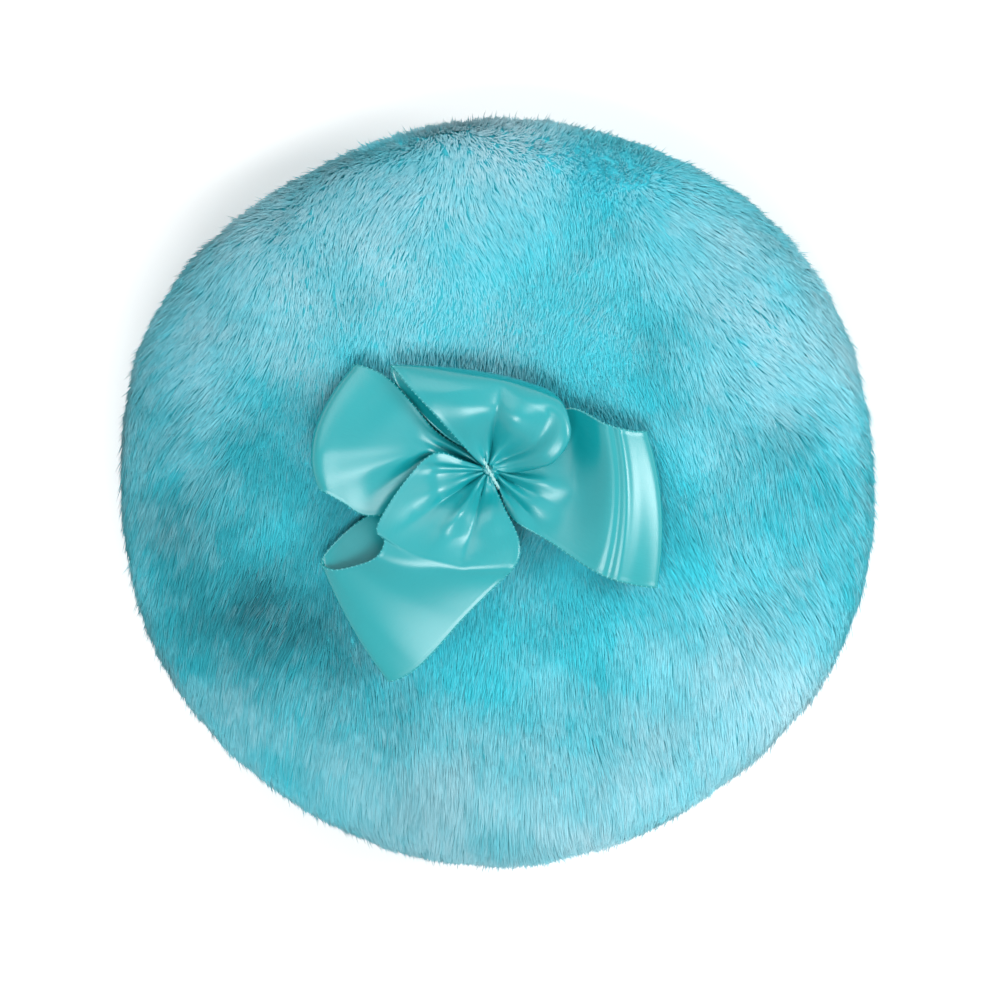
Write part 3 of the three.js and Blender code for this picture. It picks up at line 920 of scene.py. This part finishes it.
def tack_threads(material):
    """The shank from the knot to the bow, and the knot itself."""
    path = np.tile(TACK, (SHANK_STEPS, 1))
    path[:, 2] = np.linspace(TACK_LOW[2], TACK_HIGH[2], SHANK_STEPS)
    radius = TACK_HIGH[0] - TACK[0]
    ply_thread("tack_shank_thread", path, False, material, "puff", "tack_thread", radius)
    middle = (KNOT_LOW + KNOT_HIGH) / 2
    spread = (KNOT_HIGH - KNOT_LOW) / 2 - THREAD_RADIUS
    turn = np.linspace(0, 2 * math.pi, KNOT_STEPS, endpoint=False)
    reach = 1 - KNOT_SWING + KNOT_SWING * np.cos(KNOT_SWINGS * turn)
    knot = np.stack([
        reach * np.cos(KNOT_TURNS * turn) * spread[0],
        reach * np.sin(KNOT_TURNS * turn) * spread[1],
        np.sin(KNOT_SWINGS * turn) * spread[2],
    ], axis=1)
    ply_thread("tack_knot_thread", middle + knot, True, material, "puff", "tack_knot")


def squared(value):
    """A wave with flatter crests."""
    return np.sign(value) * np.abs(value) ** STITCH_SQUARENESS


def centre_stitch(material):
    """One turn of thread round the gather, seen as a bar over it."""
    middle = (STITCH_LOW + STITCH_HIGH) / 2
    reach = np.linalg.norm((STITCH_HIGH - STITCH_LOW)[:2]) / 2 - THREAD_RADIUS
    tall = (STITCH_HIGH[2] - STITCH_LOW[2]) / 2 - THREAD_RADIUS
    turn = np.linspace(0, 2 * math.pi, STITCH_STEPS, endpoint=False)
    out = reach * squared(np.cos(turn))
    path = np.stack([
        middle[0] + out * math.cos(STITCH_HEADING),
        middle[1] + out * math.sin(STITCH_HEADING),
        middle[2] + tall * squared(np.sin(turn)),
    ], axis=1)
    ply_thread("centre_stitch_thread", path, True, material, "bow", "bow_centre_stitch")


# Ribbon loops. Each row is one place along the ribbon: one edge, the middle and the other edge, as
# x, y and z in hundredths of the ribbon's width, from the stitch and the gather's foot.
LEFT_LOOP = [
    [[-4, 3, 17], [-5, 0, 18], [-4, -2, 17]],
    [[-15, 12, 17], [-18, 1, 20], [-15, -8, 20]],
    [[-35, 25, 26], [-44, 5, 33], [-44, -23, 34]],
    [[-52, 45.5, 32], [-74, 13, 38], [-80, -31, 40]],
    [[-68, 62, 30], [-98, 20, 37.5], [-98, -22, 40]],
    [[-85, 70, 27], [-113, 25, 35], [-111, -14.5, 38.5]],
    [[-91, 70, 21], [-117, 26, 27], [-113.5, -13, 31]],
    [[-86, 67, 16], [-112, 24, 19], [-108, -15, 22]],
    [[-66, 53, 12], [-90, 18, 13], [-86, -19, 14]],
    [[-40, 34, 10], [-50, 8, 10], [-47, -14, 12]],
    [[-15, 12, 7], [-17, 1, 8], [-14, -7, 9]],
]
UPPER_LOOP = [
    [[-3, 3, 25.5], [0, 4, 25.5], [4, 0, 25.5]],
    [[-11, 10, 29], [5, 15, 28], [18, -3, 26]],
    [[-26, 26, 39], [12, 33, 46], [44, -3, 37]],
    [[-40, 41, 43], [10, 49, 47], [61, 15, 42]],
    [[-54, 56, 41], [2, 61, 41], [60, 38, 38]],
    [[-66, 70, 33], [-4, 65.5, 26], [44, 52, 24]],
    [[-59.5, 53, 28], [-5, 56, 14], [32, 46, 12]],
    [[-32, 25, 24], [-2, 32, 11], [14, 25, 7]],
    [[-9, 11, 9], [0, 14, 5], [6, 13, 5]],
]
RIGHT_LOOP = [
    [[5, 2, 18], [5.5, 0, 18], [4, -4, 18]],
    [[15, 7, 17], [16, -3, 18], [8, -16, 18]],
    [[30, 26, 20], [35, -8, 23], [17, -34, 22]],
    [[54, 42, 20], [58, -10, 23], [40, -48, 25]],
    [[79, 31, 35], [83, -20, 39], [74, -70, 34]],
    [[95, 26.5, 31.7], [102, -24, 33.5], [97, -77.5, 28.5]],
    [[106, 26, 23.5], [116, -25, 24], [113, -79, 20.5]],
    [[90, 25, 14], [93, -20, 14], [90, -70, 12]],
    [[44, 18, 9], [46, -8, 9], [38, -34, 9]],
    [[15, 4, 6], [16, 0, 6], [14, -6, 6]],
]
LOWER_LOOP = [
    [[-4, 1, 25.5], [-3, -3, 25.5], [2, -4, 25]],
    [[-17, 6, 27], [-12, -11, 27], [5, -13, 25]],
    [[-37, 11, 37], [-27, -25, 42], [11, -27, 35]],
    [[-58, -10, 41], [-34, -43, 44], [19, -43, 38.5]],
    [[-75, -38, 41], [-34, -56, 45.5], [21, -55, 40]],
    [[-70, -47, 41.5], [-34, -63, 46], [17.5, -65, 40.5]],
    [[-75, -58, 40.7], [-41, -70, 43.3], [9, -74, 37.3]],
    [[-88, -64, 33], [-56, -84, 36], [-15, -98, 33]],
    [[-106, -67, 26], [-82, -102, 26.5], [-48.5, -134, 23.5]],
    [[-112, -58.5, 18], [-92, -103, 18.5], [-68.5, -140.5, 16]],
    [[-84, -32, 13], [-66, -68, 14], [-42, -103, 12]],
    [[-44, -15, 8], [-33, -32, 8], [-12, -46, 8]],
    [[-14, -4, 3], [-10, -10, 3], [-1, -15, 3]],
]

# Pleats spread from a loop's focus: heading and width in degrees, height and reach in metres
LEFT_PLEATS = [(197, 8, 0.0003, 0.034), (215, 9, -0.0006, 0.018)]
UPPER_PLEATS = [
    (114, 17, 0.0005, 0.024), (82, 5, -0.0012, 0.018), (62, 11, 0.0006, 0.022),
    (30, 15, -0.0017, 0.026), (9, 5, 0.0009, 0.019), (-2, 4, -0.0008, 0.016), (-10, 4, 0.0004, 0.014),
]
RIGHT_PLEATS = [
    (-14, 6, 0.0006, 0.018), (-27, 5, -0.0006, 0.016), (-38, 5, 0.0003, 0.016),
    (-48, 4, -0.0008, 0.016), (-60, 5, 0.0005, 0.018),
]
LOWER_PLEATS = [
    (178, 4, 0.0009, 0.016), (203, 8, 0.0005, 0.021), (214, 6, -0.0015, 0.022),
    (236, 7, 0.0012, 0.019), (254, 5, -0.0012, 0.02), (276, 9, 0.0003, 0.018),
]

# Bends: the ribbon turns down on the right of a line. Its ends are in shares of the ribbon's
# width from the stitch, its slope is a share and its softness is in metres.
LEFT_BENDS = [((-1.18, 0.13), (-0.39, 0.155), 0.25, 0.0008)]

# Creases across a loop: the row that they lie at, their width in rows and their height
RIGHT_CREASES = [(4.22, 0.12, -0.0003), (4.5, 0.16, 0.0002)]

# Each loop's rows, its pleats and the focus that they spread from, in shares of the ribbon's width,
# the depth and reach of its fine gathers, and the stretch of it over which the pleats fade out
LOOPS = {
    "left": {
        "rows": LEFT_LOOP, "pleats": LEFT_PLEATS, "focus": (-0.34, 0.15), "gather": (0.0008, 0.014),
        "bends": LEFT_BENDS, "fold": (0.5, 0.63),
    },
    "upper": {
        "rows": UPPER_LOOP, "pleats": UPPER_PLEATS, "focus": (0, 0), "gather": (0.0003, 0.007),
        "rolled": True,
    },
    "right": {
        "rows": RIGHT_LOOP, "pleats": RIGHT_PLEATS, "focus": (0, 0), "gather": (0.0004, 0.010),
        "creases": RIGHT_CREASES,
    },
    "lower": {"rows": LOWER_LOOP, "pleats": LOWER_PLEATS, "focus": (0, 0), "gather": (0.00025, 0.007)},
}
PLAIN_FOLD = (0.4, 0.5)
ROLLED_FADE = (0.55, 0.8)
ROLL_RADIUS = 0.001
ROLL_WIDTH = 0.0024
ROLL_LOOK_BACK = 5
ROLL_EVENING = 12
BEND_FADE = (0.003, 0.01)
GATHER_COUNT = 4
SHARP_BELOW = 10
VALLEY_ROUNDING = 0.35
SWELL_GAIN = 6.75


def rail(rows, column, places):
    """A smooth curve through one column of a loop's rows, at places from 0 to 1."""
    points = np.array([row[column] for row in rows]) * RIBBON_WIDTH / 100
    points = np.concatenate([[2 * points[0] - points[1]], points, [2 * points[-1] - points[-2]]])
    at = places * (len(rows) - 1)
    low = np.minimum(at.astype(int), len(rows) - 2)
    t = (at - low)[:, None]
    a, b, c, d = [points[low + shift] for shift in range(4)]
    bent = (2 * a - 5 * b + 4 * c - d) * t**2 + (3 * b - a - 3 * c + d) * t**3
    return 0.5 * (2 * b + (c - a) * t + bent)


def swell(share):
    """Rises from 0 to 1 in a third of the way and fades to 0 at its end."""
    share = np.clip(share, 0, 1)
    return SWELL_GAIN * share * (1 - share) ** 2


def loop_surface(loop):
    """Middle surface of a loop, places along it by places across it."""
    along = np.linspace(0, 1, LOOP_STEPS)
    across = np.linspace(-1, 1, LOOP_STRIPS)
    left, middle, right = [rail(loop["rows"], column, along)[:, None] for column in range(3)]
    w = across[None, :, None]
    surface = left * (w * w - w) / 2 + middle * (1 - w * w) + right * (w * w + w) / 2
    upper_run = (1 - smoothstep(along, *loop.get("fold", PLAIN_FOLD)))[:, None]
    if loop.get("rolled"):
        upper_run = upper_run * (1 - smoothstep(across, *ROLLED_FADE))
    surface[..., 2] += relief(loop, surface) * upper_run + gathers(loop, surface, across)
    row = along * (len(loop["rows"]) - 1)
    for place, width, height in loop.get("creases", []):
        surface[..., 2] += (height * np.exp(-(((row - place) / width) ** 2)))[:, None]
    surface[..., 2] -= bend_drop(loop, surface) * upper_run
    if loop.get("rolled"):
        surface = rolled(surface, across)
    return surface + BOW_FOOT


def bend_drop(loop, surface):
    """How far the ribbon falls beyond its bends, less and less towards the stitch."""
    drop = np.zeros(surface.shape[:2])
    for start, end, slope, softness in loop.get("bends", []):
        run = unit(np.subtract(end, start))
        offset = surface[..., :2] - np.array(start) * RIBBON_WIDTH
        beyond = offset[..., 0] * run[1] - offset[..., 1] * run[0]
        drop += slope * (beyond + np.hypot(beyond, softness)) / 2
    distance = np.hypot(surface[..., 0], surface[..., 1])
    return drop * smoothstep(distance, *BEND_FADE)


def evened(values, passes):
    """Smoothed along the ribbon, with both ends kept."""
    for _ in range(passes):
        inside = (values[:-2] + 2 * values[1:-1] + values[2:]) / 4
        values = np.concatenate([values[:1], inside, values[-1:]])
    return values


def rolled(surface, across):
    """Turns the second edge in towards the loop's inside, round a small radius."""
    first = int(np.searchsorted(across, 1 - 2 * ROLL_WIDTH / RIBBON_WIDTH))
    base = surface[:, first - 1:first]
    edge = surface[:, first:]
    back = first - 1 - ROLL_LOOK_BACK
    out = unit(evened(base - surface[:, back:back + 1], ROLL_EVENING))
    ahead = unit(evened(np.gradient(surface[:, first - 1], axis=0), ROLL_EVENING))[:, None]
    inward = unit(np.cross(ahead, out))
    turn = np.linalg.norm(edge - base, axis=-1, keepdims=True) / ROLL_RADIUS
    surface[:, first:] = base + (out * np.sin(turn) + inward * (1 - np.cos(turn))) * ROLL_RADIUS
    return surface


def gathers(loop, surface, across):
    """Fine pleats that take up the ribbon's width towards the stitch."""
    distance = np.hypot(surface[..., 0], surface[..., 1])
    depth, reach = loop["gather"]
    fold = np.sin(GATHER_COUNT * math.pi * across)[None, :]
    return depth * fold * (1 - smoothstep(distance, reach / 3, reach))


def relief(loop, surface):
    """Height of the pleats that spread from the loop's focus: soft, but sharp in narrow valleys."""
    offset = surface[..., :2] - np.array(loop["focus"]) * RIBBON_WIDTH
    distance = np.hypot(offset[..., 0], offset[..., 1])
    heading = np.degrees(np.arctan2(offset[..., 1], offset[..., 0]))
    height = np.zeros_like(distance)
    for crest, width, rise, reach in loop["pleats"]:
        turn = (heading - crest + 180) % 360 - 180
        sharp = rise < 0 and width < SHARP_BELOW
        section = valley(turn / width) if sharp else np.exp(-((turn / width) ** 2))
        height += rise * section * swell(distance / reach)
    return height


def valley(share):
    """A narrow fold's section, rounded at its bottom."""
    return np.exp(VALLEY_ROUNDING - np.hypot(share, VALLEY_ROUNDING))


def surface_normals(surface):
    return unit(np.cross(np.gradient(surface, axis=0), np.gradient(surface, axis=1)))


def edge_distance(surface):
    """How far each point lies from the nearer edge, over the surface."""
    steps = np.linalg.norm(np.diff(surface, axis=1), axis=-1)
    from_left = np.concatenate([np.zeros((len(surface), 1)), np.cumsum(steps, axis=1)], axis=1)
    return np.minimum(from_left, from_left[:, -1:] - from_left)


def ribbon_loop(name, loop, material):
    surface = loop_surface(loop)
    normals = surface_normals(surface)
    flat = SELVAGE_WIDTH * SELVAGE_FLAT_SHARE
    near_edge = 1 - smoothstep(edge_distance(surface), flat, SELVAGE_WIDTH)
    half = (RIBBON_THICKNESS + (SELVAGE_THICKNESS - RIBBON_THICKNESS) * near_edge) / 2
    above = surface + normals * half[..., None]
    below = surface - normals * half[..., None]
    ring = np.concatenate([above, below[:, ::-1]], axis=1)
    columns = ring.shape[1]
    quads = grid_quads(LOOP_STEPS, columns)
    caps = [end_cap(0, columns), end_cap(LOOP_STEPS - 1, columns)[:, ::-1]]
    mesh = build_mesh(f"bow_{name}_ribbon", ring.reshape(-1, 3), np.concatenate([quads] + caps))
    ribbon_map(mesh, surface)
    thing = replacement(mesh, material, "bow", f"bow_{name}_loop")
    return thing, surface, normals


def end_cap(row, columns):
    low = np.arange(columns // 2 - 1)
    high = columns - 1 - low
    return row * columns + np.stack([low, low + 1, high - 1, high], axis=1)


def ribbon_map(mesh, surface):
    """Across and along the ribbon, in metres on the cloth."""
    along = distances(surface[:, LOOP_STRIPS // 2])
    across = np.linspace(0, RIBBON_WIDTH, LOOP_STRIPS)
    across = np.concatenate([across, across[::-1]])
    places = np.stack(np.broadcast_arrays(across[None, :], along[:, None]), axis=-1).reshape(-1, 2)
    corner_uvs(mesh, "Ribbon", places)


def read_along(at, distance, values):
    """The values at places along a path."""
    return np.stack([np.interp(at, distance, values[:, axis]) for axis in range(3)], axis=1)


def picots(name, surface, normals, material, rolled_edge):
    """Short stitches over the selvages, apart from one that is rolled under."""
    points, quads, triangles = [], [], []
    edges = [(0, 1)] if rolled_edge else [(0, 1), (LOOP_STRIPS - 1, LOOP_STRIPS - 2)]
    for edge, inner in edges:
        line = surface[:, edge]
        inward = unit(surface[:, inner] - line)
        distance = distances(line)
        at = np.arange(PICOT_MARGIN, distance[-1] - PICOT_MARGIN, PICOT_PITCH)
        read = [read_along(at, distance, values) for values in (line, inward, normals[:, edge])]
        for place, way, up in zip(*read):
            for face in (1, -1):
                lift = unit(up) * face * SELVAGE_THICKNESS / 2
                start = place - unit(way) * PICOT_RADIUS + lift
                end = place + unit(way) * PICOT_LENGTH + lift * PICOT_TUCK
                add_bar(points, quads, triangles, start, end)
    mesh = build_mesh(f"bow_{name}_selvage", points, quads, triangles)
    return piece(mesh, material, "bow")


# A bar's rings: place along it and share of its radius
BAR_RINGS = ((0.0, 0.55), (0.18, 1.0), (0.82, 1.0), (1.0, 0.55))
OFF_AXIS = np.array([0.31, 0.17, 0.93])


def add_bar(points, quads, triangles, start, end):
    """A round-ended bar of thread."""
    run = unit(end - start)
    side = unit(np.cross(run, OFF_AXIS))
    lift = np.cross(run, side)
    base = len(points)
    for place, swell in BAR_RINGS:
        for corner in range(TUBE_SIDES):
            turn = corner * math.pi / 3
            out = (side * math.cos(turn) + lift * math.sin(turn)) * PICOT_RADIUS * swell
            points.append(start + (end - start) * place + out)
    quads.extend((base + grid_quads(len(BAR_RINGS), TUBE_SIDES)).tolist())
    triangles.extend(tube_ends(base, len(BAR_RINGS)))


# The gather's grid, how its folds widen it, and its share of the height
GATHER_RINGS = 40
GATHER_ROUND = 120
GATHER_WIDENING = 1.1
GATHER_SLIMNESS = 0.92
GATHER_HEIGHT_SHARE = 0.94
GATHER_FOLDS = (0.1, 9)
GATHER_FINE_FOLDS = (0.05, 16)
GATHER_TWIST = 2
GATHER_MAP_STEPS = 19


def bow_gather(material):
    """The pinched middle of the ribbon under the stitch."""
    height = (GATHER_HIGH[2] - GATHER_LOW[2]) * GATHER_HEIGHT_SHARE
    radius = (GATHER_HIGH[0] - GATHER_LOW[0]) / 2 / GATHER_WIDENING
    heading = circle(GATHER_ROUND)
    rings, places = [], []
    for level in np.linspace(0, 1, GATHER_RINGS):
        bulge = math.sin(math.pi * (level * 0.86 + 0.1)) ** 0.35
        fold = 1 + GATHER_FOLDS[0] * np.cos(GATHER_FOLDS[1] * heading + GATHER_TWIST * level)
        fold += GATHER_FINE_FOLDS[0] * np.cos(GATHER_FINE_FOLDS[1] * heading)
        reach = radius * GATHER_SLIMNESS * bulge * fold
        tall = np.full(GATHER_ROUND, level * height)
        rings.append(np.stack([reach * np.cos(heading), reach * np.sin(heading), tall], axis=1))
        places.append(np.stack([np.arange(GATHER_ROUND) / GATHER_MAP_STEPS * radius, tall], axis=1))
    poles = [BOW_FOOT, BOW_FOOT + np.array([0, 0, height])]
    foot = GATHER_RINGS * GATHER_ROUND
    last = foot - GATHER_ROUND
    pairs = [(k, (k + 1) % GATHER_ROUND) for k in range(GATHER_ROUND)]
    triangles = [[foot, beside, k] for k, beside in pairs]
    triangles += [[foot + 1, last + k, last + beside] for k, beside in pairs]
    points = np.concatenate([np.concatenate(rings) + BOW_FOOT, poles])
    mesh = build_mesh("bow_gathered_middle", points, grid_quads(GATHER_RINGS, GATHER_ROUND), triangles)
    corner_uvs(mesh, "Ribbon", np.concatenate(places + [[[0, 0], [0, height]]]))
    replacement(mesh, material, "bow", "bow_gather")


# Stage. Lamps are name, place, size and power.
CAMERA_SPAN = 0.170
CAMERA_PLACE = (0.0005, -0.0012)
CAMERA_HEIGHT = 1.2
CAMERA_FOCUS = 0.032
WORLD_LEVEL = 0.33
LAMPS = [
    ("key", (1.0, 0.1, 0.68), (0.4, 0.4), 7.0),
    ("window", (-0.03, -0.42, 1.05), (0.55, 0.36), 6.2),
    ("fill", (-0.5, 0.8, 0.9), (0.9, 0.9), 4.2),
]
LAMP_AIM = Vector((0, 0, 0.03))
FLOOR_HALF = 3.0
FLOOR_TONE = 0.88
FLOOR_GLOW = 0.35


def camera():
    data = bpy.data.cameras.new("camera")
    data.sensor_width = 36
    data.lens = data.sensor_width * CAMERA_HEIGHT / CAMERA_SPAN
    thing = linked("camera", data)
    thing.location = (*CAMERA_PLACE, CAMERA_FOCUS + CAMERA_HEIGHT)
    bpy.context.scene.camera = thing


def area_light(name, place, size, power):
    data = bpy.data.lights.new(name, "AREA")
    data.shape = "RECTANGLE"
    data.size, data.size_y = size
    data.energy = power
    thing = linked(name, data)
    thing.location = place
    thing.rotation_euler = (LAMP_AIM - Vector(place)).to_track_quat("-Z", "Y").to_euler()


def background_rays(nodes, links):
    """1 on the rays that show the background: from the camera, in gloss and through glass."""
    path = nodes.new("ShaderNodeLightPath")
    total = path.outputs["Is Camera Ray"]
    for ray in ("Is Glossy Ray", "Is Transmission Ray"):
        more = nodes.new("ShaderNodeMath")
        more.operation = "MAXIMUM"
        links.new(total, more.inputs[0])
        links.new(path.outputs[ray], more.inputs[1])
        total = more.outputs[0]
    return total


def background():
    """White to the camera, in reflections and through glass, and an even soft light on the object."""
    world = bpy.data.worlds.new("world")
    bpy.context.scene.world = world
    world.use_nodes = True
    nodes, links = world.node_tree.nodes, world.node_tree.links
    level = nodes.new("ShaderNodeMapRange")
    level.inputs["To Min"].default_value = WORLD_LEVEL
    level.inputs["To Max"].default_value = 1.0
    links.new(background_rays(nodes, links), level.inputs["Value"])
    links.new(level.outputs[0], nodes["Background"].inputs["Strength"])
    nodes["Background"].inputs["Color"].default_value = (1, 1, 1, 1)


def floor():
    """A pale floor that stays white to the camera and keeps the object's shadow."""
    mesh = bpy.data.meshes.new("floor")
    corners = [(x * FLOOR_HALF, y * FLOOR_HALF, 0) for x, y in ((-1, -1), (1, -1), (1, 1), (-1, 1))]
    mesh.from_pydata(corners, [], [(0, 1, 2, 3)])
    thing = linked("floor", mesh)
    nodes = Nodes("floor", Roughness=0.9)
    nodes.colour((FLOOR_TONE, FLOOR_TONE, FLOOR_TONE, 1))
    nodes.put(nodes.shader.inputs["Emission Color"], (1, 1, 1, 1))
    seen = background_rays(nodes.tree.nodes, nodes.tree.links)
    nodes.put(nodes.shader.inputs["Emission Strength"], nodes.math("MULTIPLY", seen, FLOOR_GLOW))
    mesh.materials.append(nodes.material)


def main():
    camera()
    background()
    floor()
    for lamp in LAMPS:
        area_light(*lamp)
    face = PileFace()
    fur(face, plush_material())
    colours = linear(70, 214, 231), linear(92, 232, 248)
    base = grained_material("pile_base", 0.9, 0.1, (900.0, 3.0), *colours, (0.4, 0.0004))
    pile_base(face, "upper_pile", base)
    pile_base(face, "lower_pile", base)
    knit = knit_material()
    knit_cover(1, knit)
    knit_cover(-1, knit)
    colours = linear(216, 218, 212), linear(246, 246, 240)
    wadding_pad(grained_material("wadding", 1.0, 0.4, (600.0, 6.0), *colours, (0.7, 0.0008)))
    thread = thread_material("thread", linear(52, 150, 162), linear(122, 204, 212))
    pale_thread = thread_material("pale_thread", linear(120, 214, 216), linear(214, 248, 246))
    seam_threads(thread)
    tack_threads(thread)
    satin = satin_material()
    selvage = thread_material("selvage", linear(46, 178, 184), linear(110, 214, 218))
    for name, loop in LOOPS.items():
        ribbon, surface, normals = ribbon_loop(name, loop, satin)
        trim = picots(name, surface, normals, selvage, "rolled" in loop)
    bow_gather(satin)
    centre_stitch(pale_thread)


main()
scene = bpy.context.scene
scene.view_settings.view_transform = "Standard"
